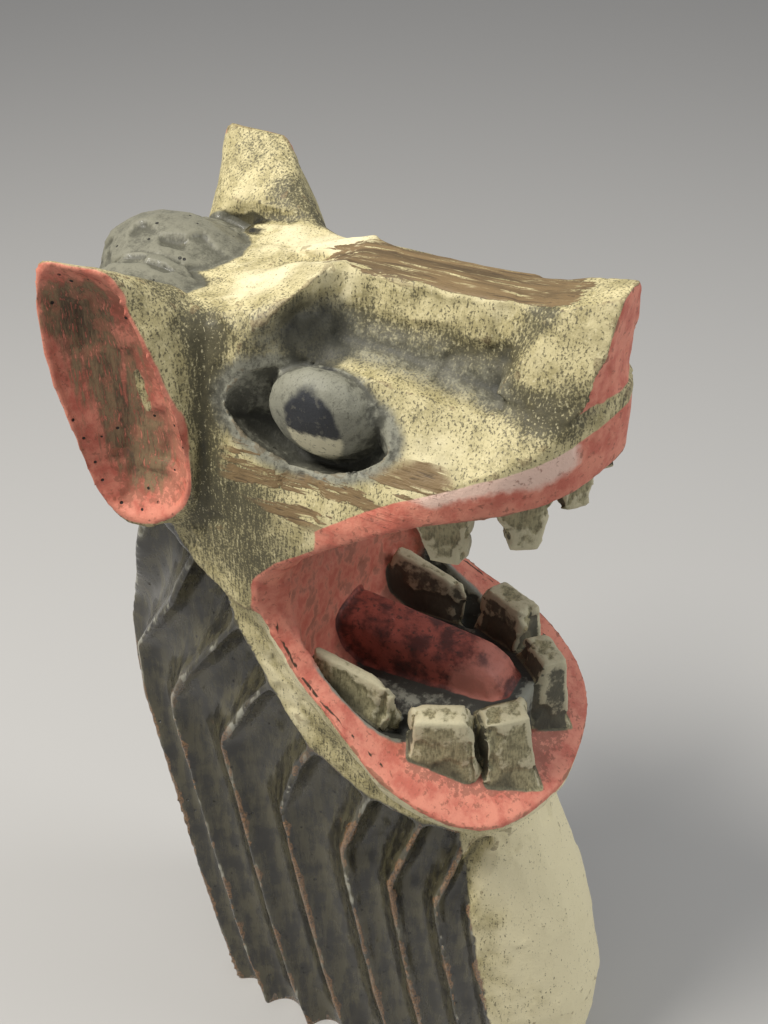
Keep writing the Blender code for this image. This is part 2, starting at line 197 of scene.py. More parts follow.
def neck():
    rings = []
    low, high = NECK_LEVELS[0][0], NECK_LEVELS[-1][0]
    for k in range(NECK_STEPS + 1):
        up = blend(low, high, k / NECK_STEPS)
        half = half_outline(up)
        side = []
        for i in range(1, len(half) - 1):
            along = Vector(half[i + 1][:2]) - Vector(half[i - 1][:2])
            along.normalize()
            cut = flute_cut(half[i][2], up)
            side.append((half[i][0] + along.y * cut, max(half[i][1] - along.x * cut, 0.5)))
            neck_places.append((half[i][0], half[i][1], up, half[i][2]))
        near = [at(f, -w, up) for f, w in side]
        far = [at(f, w, up) for f, w in reversed(side)]
        nape, throat = at(half[0][0], 0, up), at(half[-1][0], 0, up)
        rings.append([nape] + near + [throat] + far)
    return loft(rings)


# The head, the snout and the nose
# The upper half of the head, from the nape to the round upper lip, with a long flat-topped snout
# and a block for the nose. Its planes are chisel cuts, and it is one with the neck.
# Each section has the edge of the crown or the snout, the temple or the crease beside the snout,
# the cheek, and the upper and lower edge of the lip.
HEAD_SECTIONS = [
    (-26, (22, 414), (34, 406), (42, 386), (44, 356), (44, 340)),
    (0, (38, 425), (46, 420), (51, 394), (55, 356), (55, 330)),
    (22, (40, 427), (48, 422), (53, 396), (58, 358), (59, 312)),
    (42, (34, 428), (49, 418), (53, 402), (60, 366), (62, 300)),
    (49, (30, 430), (44, 420), (49, 405), (60, 364), (62, 300)),
    (57, (24, 434), (33, 428), (42, 411), (61, 362), (62, 318)),
    (66, (17, 439), (22, 428), (35, 413), (61, 355), (62, 327)),
    (71, (14, 440), (22, 415), (36, 412), (61, 353), (62, 332)),
    (82, (13, 440), (21, 414), (40, 412), (62, 357), (62, 342)),
    (100, (13, 440), (20, 412), (39, 412), (61, 366), (62, 355)),
    (112, (13, 440), (20, 411), (37, 409), (60, 374), (61, 362)),
    (125, (13, 440), (20, 409), (36, 406), (57, 381), (58, 368)),
    (138, (13, 441), (19, 407), (34, 404), (51, 385), (52, 372)),
    (146, (13, 441), (19, 406), (32, 403), (46, 387), (47, 374)),
]
# the round front of the upper lip: forward, half width, top and lower edge of the lip
LIP_FRONT = [
    (125, 57, 382, 367),
    (138, 52, 388, 370),
    (149, 46, 394, 372),
    (160, 37, 401, 374),
    (168, 28, 405, 377),
    (174, 17, 408, 380),
    (178, 5, 410, 382),
]
LIP_BULGE = [(130, 30, 405), (150, 29, 407), (163, 20, 411), (171, 10, 414), (175, 4, 413)]
# the nose with its wings, a block on the front of the snout
NOSE_CORNERS = [
    (151, 16, 442),
    (136, 29, 411),
    (164, 30, 407),
    (170, 27, 414),
    (174, 17, 431),
    (175, 9, 449),
]
NOSE_INSIDE = [(145, 0, 441), (175, 0, 450), (173, 0, 412), (140, 0, 408)]


# forward and up of the lower edge of the upper lip, all the way to its front
cheek_sections = [row for row in HEAD_SECTIONS if row[0] < LIP_FRONT[0][0]]
LIP_EDGE = [(row[0], row[5][1]) for row in cheek_sections] + [(row[0], row[3]) for row in LIP_FRONT]


def lip_height(forward):
    """Up of the lower edge of the upper lip."""
    return read_table(LIP_EDGE, forward)[0]


def head():
    rings = []
    for forward, crown, crease, cheek, lip_top, lip_edge in HEAD_SECTIONS:
        inside = (lip_edge[0] * 0.5, lip_edge[1] - 3)
        side = [crown, crease, cheek, lip_top, lip_edge, inside]
        near = [at(forward, -w, z) for w, z in side]
        far = [at(forward, w, z) for w, z in reversed(side)]
        middle_top = at(forward, 0, crown[1] + 0.5)
        middle_low = at(forward, 0, lip_edge[1] - 3)
        rings.append([middle_top] + near + [middle_low] + far)
    return loft(rings)


def hull(points):
    """The convex block whose corners are the points."""
    mesh = bmesh.new()
    for point in points:
        mesh.verts.new(point)
    made = bmesh.ops.convex_hull(mesh, input=mesh.verts)
    spare = [v for v in made["geom_interior"] if isinstance(v, bmesh.types.BMVert)]
    bmesh.ops.delete(mesh, geom=spare, context="VERTS")
    bmesh.ops.recalc_face_normals(mesh, faces=mesh.faces)
    return mesh


def muzzle_front():
    points = []
    for forward, half, top, low in LIP_FRONT:
        points += [(forward, half - 1, top), (forward, half, low), (forward, half, blend(low, top, 0.6))]
    points += LIP_BULGE
    return hull([at(f, -w, z) for f, w, z in points] + [at(f, w, z) for f, w, z in points])


def nose():
    corners = [at(f, -w, z) for f, w, z in NOSE_CORNERS] + [at(f, w, z) for f, w, z in NOSE_CORNERS]
    return hull(corners + [at(*corner) for corner in NOSE_INSIDE])


# The lower jaw
# A bowl of wood hung open below the snout, its rim a broad flat band that runs up into the corner
# of the mouth. It was carved out of level, and hangs lower on the beast's right.
JAW_TWIST = 0.08
JAW_SKEW = 0.12
JAW_SHIFT = 0.06
JAW_BEND = 80  # forward of this the jaw is out of true, in full from JAW_BEND_LENGTH farther on
JAW_BEND_LENGTH = 50
# forward, half width, underside
JAW_SECTIONS = [
    (8, 50, 326),
    (28, 58, 286),
    (43, 61, 260),
    (67, 64, 234),
    (91, 67, 215),
    (115, 68, 204),
    (134, 65, 199),
    (146, 61, 197),
    (156, 54, 197),
    (163, 45, 198),
    (168, 32, 200),
    (170.5, 20, 202),
    (172, 8, 203),
    (172.5, 3, 204),
]
# the line from the corner of the mouth down the edge of the cheek and along the lower jaw's rim
RIM_LINE = [
    (59, 318),
    (58, 302),
    (62, 290),
    (69, 279),
    (78, 268),
    (88, 259),
    (100, 250),
    (112, 243),
    (132, 233),
    (150, 222),
    (170, 211),
    (182, 205),
    (205, 196),
]


def rim_height(forward):
    """Up of the lower jaw's rim."""
    return read_table(RIM_LINE[2:], forward)[0]


def hang(forward, side, up):
    """A point of the lower jaw after its twist."""
    share = ease((forward - JAW_BEND) / JAW_BEND_LENGTH)
    swung = side - JAW_SHIFT * (forward - JAW_BEND) * share
    return at(forward + JAW_SKEW * side * share, swung, up + JAW_TWIST * side * share)


def lower_jaw():
    """The bowl of the lower jaw and the cheek above its hinge, before the gape is cut."""
    rings = []
    steps = 36
    for forward, half, bottom in JAW_SECTIONS:
        top = 345 if forward < 60 else rim_height(forward) + 14
        under = []
        for k in range(steps + 1):
            angle = math.pi * k / steps
            narrowing = 1 - 0.1 * math.sin(angle)
            side = half * narrowing * bow(math.cos(angle), 3.2)
            under.append(hang(forward, side, top - (top - bottom) * bow(math.sin(angle), 2.6)))
        rings.append(under)
    return loft(rings)


# The forelock
# The mane's first curls, a cluster of lumps on the crown between the ears. They are the same wood
# as the head, cut round with a gouge and painted grey black.


def ball(centre, radii, turn=None):
    """An ellipsoid with its middle at centre. Turn is a rotation matrix about the centre."""
    mesh = bmesh.new()
    bmesh.ops.create_uvsphere(mesh, u_segments=40, v_segments=26, radius=1.0)
    across, along, tall = radii
    scale = Matrix.Diagonal((across * UNIT, along * UNIT, tall * UNIT, 1.0))
    placed = Matrix.Translation(at(*centre)) @ (turn or Matrix.Identity(4)) @ scale
    bmesh.ops.transform(mesh, matrix=placed, verts=mesh.verts)
    return mesh


def tuft():
    return [
        ball((-20, 2, 418), (26, 32, 18)),
        ball((-10, -32, 417), (15, 25, 16)),
        ball((-22, 28, 408), (16, 26, 17)),
        ball((-34, 0, 394), (34, 18, 30)),
    ]


# The ears
# Two upright cups on the sides of the head, wide and shallow, with thick edges. The beast's left
# ear leans back, so that it shows over the crown like a horn.
EAR_CUP_DEPTH = 13.0
EAR_FULLNESS = 1.03
# forward, side and up of the rim of the cup, round from its tip
EAR_RIM = [
    (-22, 76, 447),
    (-9, 75, 449),
    (5, 73, 448),
    (9, 72, 436),
    (15, 71, 422),
    (21, 69, 402),
    (26, 68, 386),
    (27, 67, 366),
    (23, 66, 350),
    (12, 66, 338),
    (-5, 68, 335),
    (-16, 70, 347),
    (-20, 74, 374),
    (-25, 76, 400),
    (-26, 76, 428),
]
# the same points where the ear meets the head
EAR_ROOT = [
    (-18, 42, 428),
    (-6, 42, 431),
    (14, 42, 432),
    (26, 44, 426),
    (31, 46, 414),
    (31, 49, 400),
    (30, 50, 384),
    (30, 50, 364),
    (28, 50, 346),
    (18, 50, 334),
    (-2, 48, 330),
    (-18, 46, 342),
    (-28, 44, 368),
    (-32, 42, 392),
    (-30, 40, 414),
]


def closed_curve(points, steps):
    """Evenly numbered points on a smooth closed curve through the given ones."""
    count = len(points)
    curve = []
    for i in range(steps):
        place = i * count / steps
        k = int(place)
        t = place - k
        a, b, c, d = (Vector(points[(k + n) % count]) for n in (-1, 0, 1, 2))
        bend = (2 * a - 5 * b + 4 * c - d) * t**2 + (3 * b - a - 3 * c + d) * t**3
        curve.append(b + 0.5 * ((c - a) * t + bend))
    return curve


def ear_rings(lean, spread):
    """The rings of one ear, from its root over the rim and down into the cup."""
    steps = 90
    rim = closed_curve(EAR_RIM, steps)
    root = closed_curve(EAR_ROOT, steps)
    for point in rim:
        point.x = spread * point.x - lean * (point.z - 336) / 114
    centre = sum(rim, Vector()) / steps
    rim = [centre + (p - centre) * EAR_FULLNESS for p in rim]
    inward = Vector((3, -EAR_CUP_DEPTH, -2))
    cup = []
    for share, depth in ((0.93, 0.0), (0.84, 0.42), (0.68, 0.74), (0.46, 0.94), (0.2, 1.0)):
        cup.append([centre + (p - centre) * share + inward * depth for p in rim])
    waist = [a.lerp(b, 0.45) for a, b in zip(rim, root)]
    return [root, waist, rim] + cup


def ear(lean=0.0, spread=1.0):
    return loft([[at(*p) for p in ring] for ring in ear_rings(lean, spread)])


def ear_cup(lean=0.0, spread=1.0):
    """The inside of the cup alone, as an open sheet."""
    return loft([[at(*p) for p in ring] for ring in ear_rings(lean, spread)[3:]], closed=False)


def mirrored(mesh):
    """A copy of a bmesh on the other side of the middle plane."""
    other = mesh.copy()
    bmesh.ops.scale(other, vec=(-1, 1, 1), verts=other.verts)
    bmesh.ops.reverse_faces(other, faces=other.faces)
    return other


def both_sides(mesh):
    return [mesh, mirrored(mesh)]


# The gape and the hollow of the mouth
# The opening is sawn through from side to side and flared at the cheeks into a bevel, and the
# bowl of the jaw and the palate are dug out behind it.
BEVEL = 9.0


def gape():
    rings = []
    for side, flare in ((-95, BEVEL), (-64, BEVEL), (-53, 0), (53, 0), (64, BEVEL), (95, BEVEL)):
        ring = [hang(f - flare * ease((95 - f) / 35), side, z) for f, z in RIM_LINE]
        for forward in (205, 178, 168, 160, 149, 138, 125, 112, 100, 82, 68):
            ring.append(at(forward - flare * ease((95 - forward) / 35), side, lip_height(forward)))
        rings.append(ring)
    return loft(rings)


# forward, half width, floor, roof
MOUTH_SECTIONS = [
    (60, 45, 262, 334),
    (64, 50, 250, 346),
    (80, 53, 240, 358),
    (100, 54, 231, 370),
    (112, 53, 232, 376),
    (120, 51, 242, 381),
    (136, 46, 244, 386),
    (148, 38, 244, 390),
    (158, 26, 244, 393),
    (165, 13, 244, 394),
]


def cavity():
    """The hollow behind the teeth: the floor round the tongue, the back wall and the palate."""
    rings = []
    steps = 48
    for forward, half, floor, roof in MOUTH_SECTIONS:
        middle, tall = (floor + roof) / 2, (roof - floor) / 2
        ring = []
        for k in range(steps):
            angle = 2 * math.pi * k / steps
            side = half * bow(math.cos(angle), 4)
            place = hang if math.sin(angle) < 0 else at
            ring.append(place(forward, side, middle + tall * bow(math.sin(angle), 4)))
        rings.append(ring)
    return loft(rings)


# The tongue
# A long bar with rounded edges, left standing from the floor of the mouth when the wood beside it
# was dug out, and painted dark red.
TONGUE_HALF_WIDTH = 13.0
# forward, share of the full width, top, foot
TONGUE_SECTIONS = [
    (52, 0.95, 268, 240),
    (68, 1.0, 268, 238),
    (100, 1.0, 265, 228),
    (128, 1.0, 262, 214),
    (137, 0.9, 258, 210),
    (142, 0.65, 250, 208),
]


def tongue():
    rings = []
    steps = 28
    for forward, share, top, foot in TONGUE_SECTIONS:
        half = TONGUE_HALF_WIDTH * share
        middle, tall = (top + foot) / 2, (top - foot) / 2
        ring = []
        for k in range(steps):
            angle = 2 * math.pi * k / steps
            side = half * bow(math.cos(angle), 4)
            ring.append(at(forward, side, middle + tall * bow(math.sin(angle), 5)))
        rings.append(ring)
    return loft(rings)


# The teeth
# Blunt blocks cut with a few strokes each, wide at the foot, left standing in the jaws. Below are
# two in front, one at each corner and a long wedge behind it, and above are three a side.


def block(foot, foot_size, tip, tip_size, turn):
    """A tooth from a wide foot to a narrow tip. Turn is about the upright, in degrees."""
    points = []
    for centre, (long, thick) in ((foot, foot_size), (tip, tip_size)):
        for i, j in ((-1, -1), (-1, 1), (1, 1), (1, -1)):
            spin = Matrix.Rotation(math.radians(turn), 2) @ Vector((i * long / 2, j * thick / 2))
            points.append(at(centre[0] + spin.x, centre[1] + spin.y, centre[2]))
    return hull(points)


def gum():
    """The raised floor between the lower teeth, with the tongue along its middle."""
    top = [(58, 34, 243), (110, 33, 243), (134, 28, 244), (148, 15, 248), (151, 0, 248)]
    edge = [(f, w * side, z) for f, w, z in top for side in (-1, 1)]
    return hull([at(*point) for point in edge] + [at(f, w, 205) for f, w, z in edge])


def lower_teeth():
    teeth = []
    for side in (-1, 1):
        tip = (148 + 2 * side, 19 * side, 254 + 4 * side)
        teeth.append(block((149, 19 * side, 212), (25, 21), tip, (20, 12), -43 * side))
        tip = (125 + side, 37 * side, 261 + 5 * side)
        teeth.append(block((125, 36 * side, 224), (30, 18), tip, (23, 12), -25 * side))
    wedge = [(64, 37, 271), (66, 43, 272), (94, 36, 264), (99, 41, 262), (103, 37, 254)]
    wedge += [(62, 30, 238), (64, 46, 240), (102, 31, 232), (94, 45, 235)]
    back = hull([at(f, -w, z) for f, w, z in wedge])
    return teeth + both_sides(back)


def upper_teeth():
    first = block((161, -13, 396), (20, 12), (166, -16, 365), (11, 8), 55)
    second = block((148, -28, 390), (26, 12), (154, -33, 353), (11, 8), 32)
    third = block((121, -41, 380), (32, 12), (127, -43, 344), (12, 7), 9)
    return [tooth for mesh in (first, second, third) for tooth in both_sides(mesh)]


# The eyes and brows
# An oval knob in a deep round groove on each side, under a brow ridge that runs up into the
# snout, with a deep corner between brow, eye and snout.
EYE = (73, -46, 397)
EYE_TILT = Matrix.Rotation(math.radians(-25), 4, "Y")
EYE_TURN = Matrix.Rotation(math.radians(24), 4, "X")


def eye_socket():
    forward, side, up = EYE
    return ball((forward - 1, side - 6, up - 1), (12, 34, 29), EYE_TILT)


def eye_ring():
    """The deeper groove close round the knob."""
    forward, side, up = EYE
    return ball((forward - 2, side - 2, up - 1), (13, 26, 26), EYE_TILT)


def eyeball():
    forward, side, up = EYE
    return ball((forward + 2, side + 3, up - 3), (13, 22, 24), EYE_TILT @ EYE_TURN)


# the edge of the brow, from the temple up to the root of the snout
BROW_EDGE = [(26, -46, 424), (44, -50, 419), (53, -46, 428), (60, -39, 436), (67, -18, 443)]
BROW_INSIDE = [(24, -12, 428), (40, -5, 434), (70, -8, 441)]
BROW_INSIDE += [(30, -44, 404), (50, -42, 410), (66, -12, 424)]
FAR_BROW_DROP = 10  # the beast's left brow is cut lower than the right


def brow(drop=0):
    """The slab of the forehead over one eye, with an edge that overhangs."""
    raised = [at(f, w, z - drop * ease((-w - 10) / 25)) for f, w, z in BROW_EDGE + BROW_INSIDE]
    return hull(raised)


def brow_hollow():
    turn = Matrix.Rotation(math.radians(-38), 4, "Z") @ Matrix.Rotation(math.radians(-22), 4, "Y")
    return ball((69, -36, 424), (15, 8, 13), turn)


# Carving the block
# All the masses are one block of wood: they are joined, the mouth, eyes and brows are cut out,
# and the tongue, teeth and eyes are left standing. The foot is sawn flat last.
SKIN = 1.35  # the size of the finest cut that is kept
FACES = 190000
surfaces = {}  # the surfaces of the forms by name, for the painter


def keep_surface(name, meshes):
    """Remembers the surface that some forms have together, and passes the forms on."""
    corners, faces = [], []
    for mesh in meshes:
        first = len(corners)
        mesh.verts.index_update()
        corners += [v.co.copy() for v in mesh.verts]
        faces += [[first + v.index for v in f.verts] for f in mesh.faces]
    surfaces[name] = BVHTree.FromPolygons(corners, faces)
    return meshes


def put_together(name, meshes):
    """One object from several bmeshes, which may overlap."""
    whole = bmesh.new()
    for mesh in meshes:
        piece = bpy.data.meshes.new("piece")
        mesh.to_mesh(piece)
        mesh.free()
        whole.from_mesh(piece)
        bpy.data.meshes.remove(piece)
    data = bpy.data.meshes.new(name)
    whole.to_mesh(data)
    whole.free()
    thing = bpy.data.objects.new(name, data)
    bpy.context.scene.collection.objects.link(thing)
    return thing


def settle(thing):
    """Replaces an object's mesh with what its modifiers make of it."""
    graph = bpy.context.evaluated_depsgraph_get()
    mesh = bpy.data.meshes.new_from_object(thing.evaluated_get(graph))
    thing.modifiers.clear()
    old = thing.data
    thing.data = mesh
    bpy.data.meshes.remove(old)


def skin_over(thing):
    remesh = thing.modifiers.new("skin", "REMESH")
    remesh.mode = "VOXEL"
    remesh.voxel_size = SKIN * UNIT
    remesh.adaptivity = 0.0
    settle(thing)


def cut_away(thing, meshes):
    for mesh in meshes:
        tool = put_together("tool", [mesh])
        saw = thing.modifiers.new("cut", "BOOLEAN")
        saw.operation = "DIFFERENCE"
        saw.object = tool
        saw.solver = "MANIFOLD"
        settle(thing)
        bpy.data.objects.remove(tool)


far_ear = {"lean": 12, "spread": 1.2}  # the beast's left ear leans back and is a little wider
masses = [neck(), head(), muzzle_front(), nose()] + keep_surface("jaw", [lower_jaw()])
masses += keep_surface("tuft", tuft())
masses += [ear(**far_ear), mirrored(ear())]
masses += [brow(), mirrored(brow(FAR_BROW_DROP))]
carving = put_together("figurehead_carving", masses)
skin_over(carving)
cuts = keep_surface("gape", [gape()]) + keep_surface("mouth", [cavity()])
cuts += keep_surface("socket", both_sides(eye_socket()) + both_sides(eye_ring()))
cuts += keep_surface("brow_hollow", both_sides(brow_hollow()))
cut_away(carving, cuts)
keep_surface("ear_cup", [ear_cup(**far_ear), mirrored(ear_cup())])
details = keep_surface("gum", [gum()]) + keep_surface("tongue", [tongue()])
details += keep_surface("teeth", lower_teeth() + upper_teeth())
details += keep_surface("eye", both_sides(eyeball()))
standing = put_together("standing", details)
whole = bmesh.new()
whole.from_mesh(carving.data)
whole.from_mesh(standing.data)
whole.to_mesh(carving.data)
whole.free()
bpy.data.objects.remove(standing)
skin_over(carving)
worn = carving.modifiers.new("worn", "SMOOTH")
worn.factor = 0.5
worn.iterations = 2
settle(carving)

# The tool marks
# The surface is left as the gouge and chisel made it: flat facets that meet in soft edges, wide
# on cheeks, jaw and throat and small on the teeth, with slight waves from the hand.


def read_points(mesh):
    flat = np.empty(len(mesh.vertices) * 3)
    mesh.vertices.foreach_get("co", flat)
    return flat.reshape(-1, 3)


def read_normals(mesh):
    flat = np.empty(len(mesh.vertices) * 3)
    mesh.vertices.foreach_get("normal", flat)
    return flat.reshape(-1, 3)


def smoothed(places, rounds):
    """The mesh's points after each has moved towards its neighbours."""
    mesh = carving.data
    ends = np.empty(len(mesh.edges) * 2, dtype=int)
    mesh.edges.foreach_get("vertices", ends)
    a, b = ends.reshape(-1, 2).T
    count = np.maximum(np.bincount(a, minlength=len(places)) + np.bincount(b, minlength=len(places)), 1)
    for _ in range(rounds):
        near = []
        for k in range(3):
            sums = np.bincount(a, places[b, k], len(places)) + np.bincount(b, places[a, k], len(places))
            near.append(sums / count)
        places = 0.5 * places + 0.5 * np.stack(near, axis=1)
    return places


def distance_to(name, points, reach=6.0):
    """Units from each point to the kept surface of a form, at most reach."""
    tree = surfaces[name]
    found = np.full(len(points), reach)
    for i, point in enumerate(points):
        hit = tree.find_nearest(point, reach * UNIT)
        if hit[3] is not None:
            found[i] = hit[3] / UNIT
    return found


def facets(points, normals, chosen, size, share, deepest, seed):
    """Moves chosen points towards flat facets about size units wide, each facing its own way."""
    generator = np.random.default_rng(seed)
    picked = np.flatnonzero(chosen)
    places, ways = points[picked] / UNIT, normals[picked]
    spread = places + ways * size * 0.8
    cells = np.floor(spread / size + generator.random(3)).astype(int)
    member = np.unique(cells, axis=0, return_inverse=True)[1].ravel()
    counts = np.bincount(member)
    middles = np.stack([np.bincount(member, spread[:, k]) / counts for k in range(3)], axis=1)
    middles += generator.normal(0, 0.16 * size, middles.shape)
    tree = KDTree(len(middles))
    for i, middle in enumerate(middles):
        tree.insert(middle, i)
    tree.balance()
    nearest = np.array([tree.find(spot)[1] for spot in spread])
    counts = np.maximum(np.bincount(nearest, minlength=len(middles)), 1)
    planes = []
    for values in (places, ways):
        sums = [np.bincount(nearest, values[:, k], len(middles)) for k in range(3)]
        planes.append(np.stack(sums, axis=1) / counts[:, None])
    centre, facing = planes[0][nearest], planes[1][nearest]
    facing = facing / np.maximum(np.linalg.norm(facing, axis=1, keepdims=True), 1e-6)
    height = np.clip(((places - centre) * facing).sum(axis=1), -deepest, deepest)
    points[picked] -= facing * (share * height * UNIT)[:, None]


points, normals = read_points(carving.data), read_normals(carving.data)
small = distance_to("teeth", points) < 1.5
inside = (distance_to("mouth", points) < 2.0) | (distance_to("gum", points) < 1.5)
lumps = distance_to("tuft", points) < 1.5
forward, wide, up = FOOT_CENTRE - points[:, 1] / UNIT, np.abs(points[:, 0]) / UNIT, points[:, 2] / UNIT
uncut_neck = KDTree(len(neck_places))
for i, neck_place in enumerate(neck_places):
    uncut_neck.insert(neck_place[:3], i)
uncut_neck.balance()
MANE_TOP = 425
MANE_PROUD = 13  # what stands this far off the uncut neck is no longer mane
MANE_EDGE_SLANT = 0.7
FAR_OFF = 30.0


def round_the_neck():
    """How far each point lies round the neck from the nape, and how far off the uncut neck."""
    way_round, off = np.zeros(len(points)), np.full(len(points), FAR_OFF)
    for i in range(len(points)):
        if up[i] < MANE_TOP:
            index, off[i] = uncut_neck.find((forward[i], wide[i], up[i]))[1:]
            way_round[i] = neck_places[index][3]
    return way_round, off


def along(table, keys):
    """The second column of a table at each key."""
    rows = sorted(table)
    return np.interp(keys, [row[0] for row in rows], [row[1] for row in rows])


def mane_depth(way_round, off):
    """Units inside the edge of the mane, below 0 outside it."""
    below = (along(MANE_EDGE, way_round) - up) * MANE_EDGE_SLANT
    return np.minimum(np.minimum(LOCK_RIDGES[-1][0] - way_round, below), MANE_PROUD - off)


way_round, off = round_the_neck()
hair = (mane_depth(way_round, off) > 0) & ~lumps
throat = (way_round > LOCK_RIDGES[-1][0]) & (off < 4) & ~small & ~inside
knob = distance_to("eye", points) < 1.5
rest = ~(small | inside | hair | lumps | throat | knob)
# where, the width of a facet, how flat it is cut, the deepest cut, and the seed of its directions
STROKES = [
    (rest, 17, 0.65, 1.5, 3),
    (throat, 19, 1.0, 1.5, 13),
    (lumps, 17, 1.0, 3.0, 11),
    (knob, 13, 0.9, 2.5, 17),
    (small, 10, 1.0, 2.2, 5),
    (inside & ~small, 11, 0.7, 1.5, 7),
]
for chosen, size, share, deepest, seed in STROKES:
    facets(points, normals, chosen, size, share, deepest, seed)
points = smoothed(points, 1)
WAVE, RIPPLE, PLANED = 0.4, 0.22, 0.12  # the height of the waves and ripples, and what they take off
waves = np.array([noise.noise(Vector(p) * 45) for p in points])
ripples = np.array([noise.noise(Vector(p) * 160 + Vector((7, 1, 3))) for p in points])
points += normals * ((waves * WAVE + ripples * RIPPLE - PLANED) * UNIT)[:, None]
carving.data.vertices.foreach_set("co", points.ravel())
carving.data.update()


WASTE_DEPTH = 60
WASTE_WIDTH = 600


def foot_saw():
    """The waste below the flat foot."""
    mesh = bmesh.new()
    bmesh.ops.create_cube(mesh, size=1.0)
    size = Matrix.Diagonal((WASTE_WIDTH * UNIT, WASTE_WIDTH * UNIT, WASTE_DEPTH * UNIT, 1.0))
    below = Matrix.Translation((0, 0, -WASTE_DEPTH * UNIT / 2))
    bmesh.ops.transform(mesh, matrix=below @ size, verts=mesh.verts)
    return mesh


thin = carving.modifiers.new("thin", "DECIMATE")
thin.ratio = FACES / (2 * len(carving.data.polygons))
thin.use_collapse_triangulate = True
settle(carving)
cut_away(carving, [foot_saw()])
carving.data.polygons.foreach_set("use_smooth", [True] * len(carving.data.polygons))

# The painter's zones
# Each zone is a distance in units, above 0 inside and below 0 outside, kept on the surface for
# the paint: red lips, tongue and ears, black mane, grey eye rings, and wood rubbed bare.
points, normals = read_points(carving.data), read_normals(carving.data)
forward, side, up = FOOT_CENTRE - points[:, 1] / UNIT, points[:, 0] / UNIT, points[:, 2] / UNIT
wide = np.abs(side)


def keep_zone(name, values):
    layer = carving.data.attributes.new(name, "FLOAT", "POINT")
    layer.data.foreach_set("value", np.asarray(values, dtype=np.float32))


def line_distance(track):
    """Units from each point to a line of (forward, side, up) places, on both sides alike."""
    found = np.full(len(points), 99.0)
    spots = np.stack([forward, wide, up], axis=1)
    for a, b in zip(track, track[1:]):
        a, b = np.array(a, float), np.array(b, float)
        share = np.clip(((spots - a) @ (b - a)) / ((b - a) @ (b - a)), 0, 1)
        found = np.minimum(found, np.linalg.norm(spots - a - share[:, None] * (b - a), axis=1))
    return found


def near_form(name, reach, search=6.0):
    """Units within reach of the kept surface of a form, below 0 farther off."""
    return reach - distance_to(name, points, search)


def near_line(reach, *track):
    return reach - line_distance(track)


forelock = near_form("tuft", 4.2)
keep_zone("mane", np.maximum(mane_depth(*round_the_neck()), forelock))
keep_zone("tuft", forelock)
keep_zone("tongue", near_form("tongue", 1.7))
keep_zone("tongue_tip", near_line(15, (128, 0, 250), (128, 8, 250)))
keep_zone("eye", near_form("eye", 1.7))
keep_zone("socket", near_form("socket", 5.0, 12))
keep_zone("pupil", 11 - np.hypot(forward - 77, (up - 394) * 0.62))
keep_zone("ear_cup", near_form("ear_cup", 2.6))
keep_zone("cup_middle", near_line(15, (-14, 70, 425), (-6, 62, 395), (2, 60, 365)))
# faces of the teeth turned inward or back, and not up, which the paint puts in painted shade
facing_in = np.maximum(-normals[:, 0] * np.sign(side), normals[:, 1]) - np.maximum(normals[:, 2], 0) * 0.5
keep_zone("tooth_shade_side", facing_in * 10 - 3)

# the rim of the lower jaw is red as far in as BAND, and grey from there to the teeth
BAND = 14.0
LOWER, UPPER = up < 300, up > 330
OFF = -5.0
on_gape = near_form("gape", 1.9)
from_outside = distance_to("jaw", points, 30)
rim_band = np.where(LOWER, np.minimum(on_gape, BAND - from_outside), on_gape)
ledge = np.where(LOWER, np.minimum(on_gape, from_outside - BAND), OFF)
# forward, and the height of the red band over the lower edge of the upper lip
BAND_OVER = [(110, 13), (125, 14), (149, 18), (168, 21), (178, 23)]
LIP_HALF = [(row[0], row[4][0]) for row in cheek_sections] + [row[:2] for row in LIP_FRONT] + [(182, 0)]
over_lip = up - along(LIP_EDGE, forward)
lip_band = np.minimum(along(BAND_OVER, forward) - over_lip, wide - along(LIP_HALF, forward) + 9)
lip_band = np.minimum(lip_band, (forward - 80) * 0.7)
keep_zone("lip", np.maximum(np.where(UPPER, lip_band, OFF), rim_band))
keep_zone("lip_pale", near_line(14, (124, 54, 389), (142, 48, 395), (160, 34, 397)))
# neither teeth nor hollow are painted through to the outside of the jaws
within_jaw = 57 - wide
tooth = near_form("teeth", 1.7)
keep_zone("teeth", np.where(LOWER, np.minimum(tooth, within_jaw), np.minimum(tooth, 1 - over_lip)))
hollow = np.maximum(near_form("mouth", 2.0), near_form("gum", 1.7))
hollow = np.where(LOWER, np.minimum(hollow, within_jaw), hollow)
keep_zone("mouth", np.maximum(hollow, ledge))
keep_zone("mouth_back", 74 - forward)
# forward and side of the long crack in the rim of the lower jaw
CRACK = [(57, 57), (62, 58), (72, 60), (86, 61.5), (100, 61.5), (112, 60)]
CRACK_HALF_WIDTH = 0.55
in_crack = (forward > 57) & (forward < 118) & LOWER
keep_zone("crack", np.where(in_crack, CRACK_HALF_WIDTH - np.abs(wide - along(CRACK, forward)), OFF))
keep_zone("nose_front", np.minimum(np.minimum(forward - 167, up - 411), normals[:, 1] * -20 - 15))
keep_zone("crease", near_line(9, (52, 40, 420), (66, 24, 424), (72, 23, 414), (100, 21, 411), (140, 20, 406)))
keep_zone("brow_hollow", near_form("brow_hollow", 3.0, 12))
on_snout = near_line(13, (64, 0, 441), (146, 0, 442))
keep_zone("snout_top", np.minimum(on_snout, normals[:, 2] * 30 - 24))
keep_zone("cheek_streak", near_line(11, (48, 61, 372), (66, 61, 362), (100, 60, 370), (122, 57, 384)))
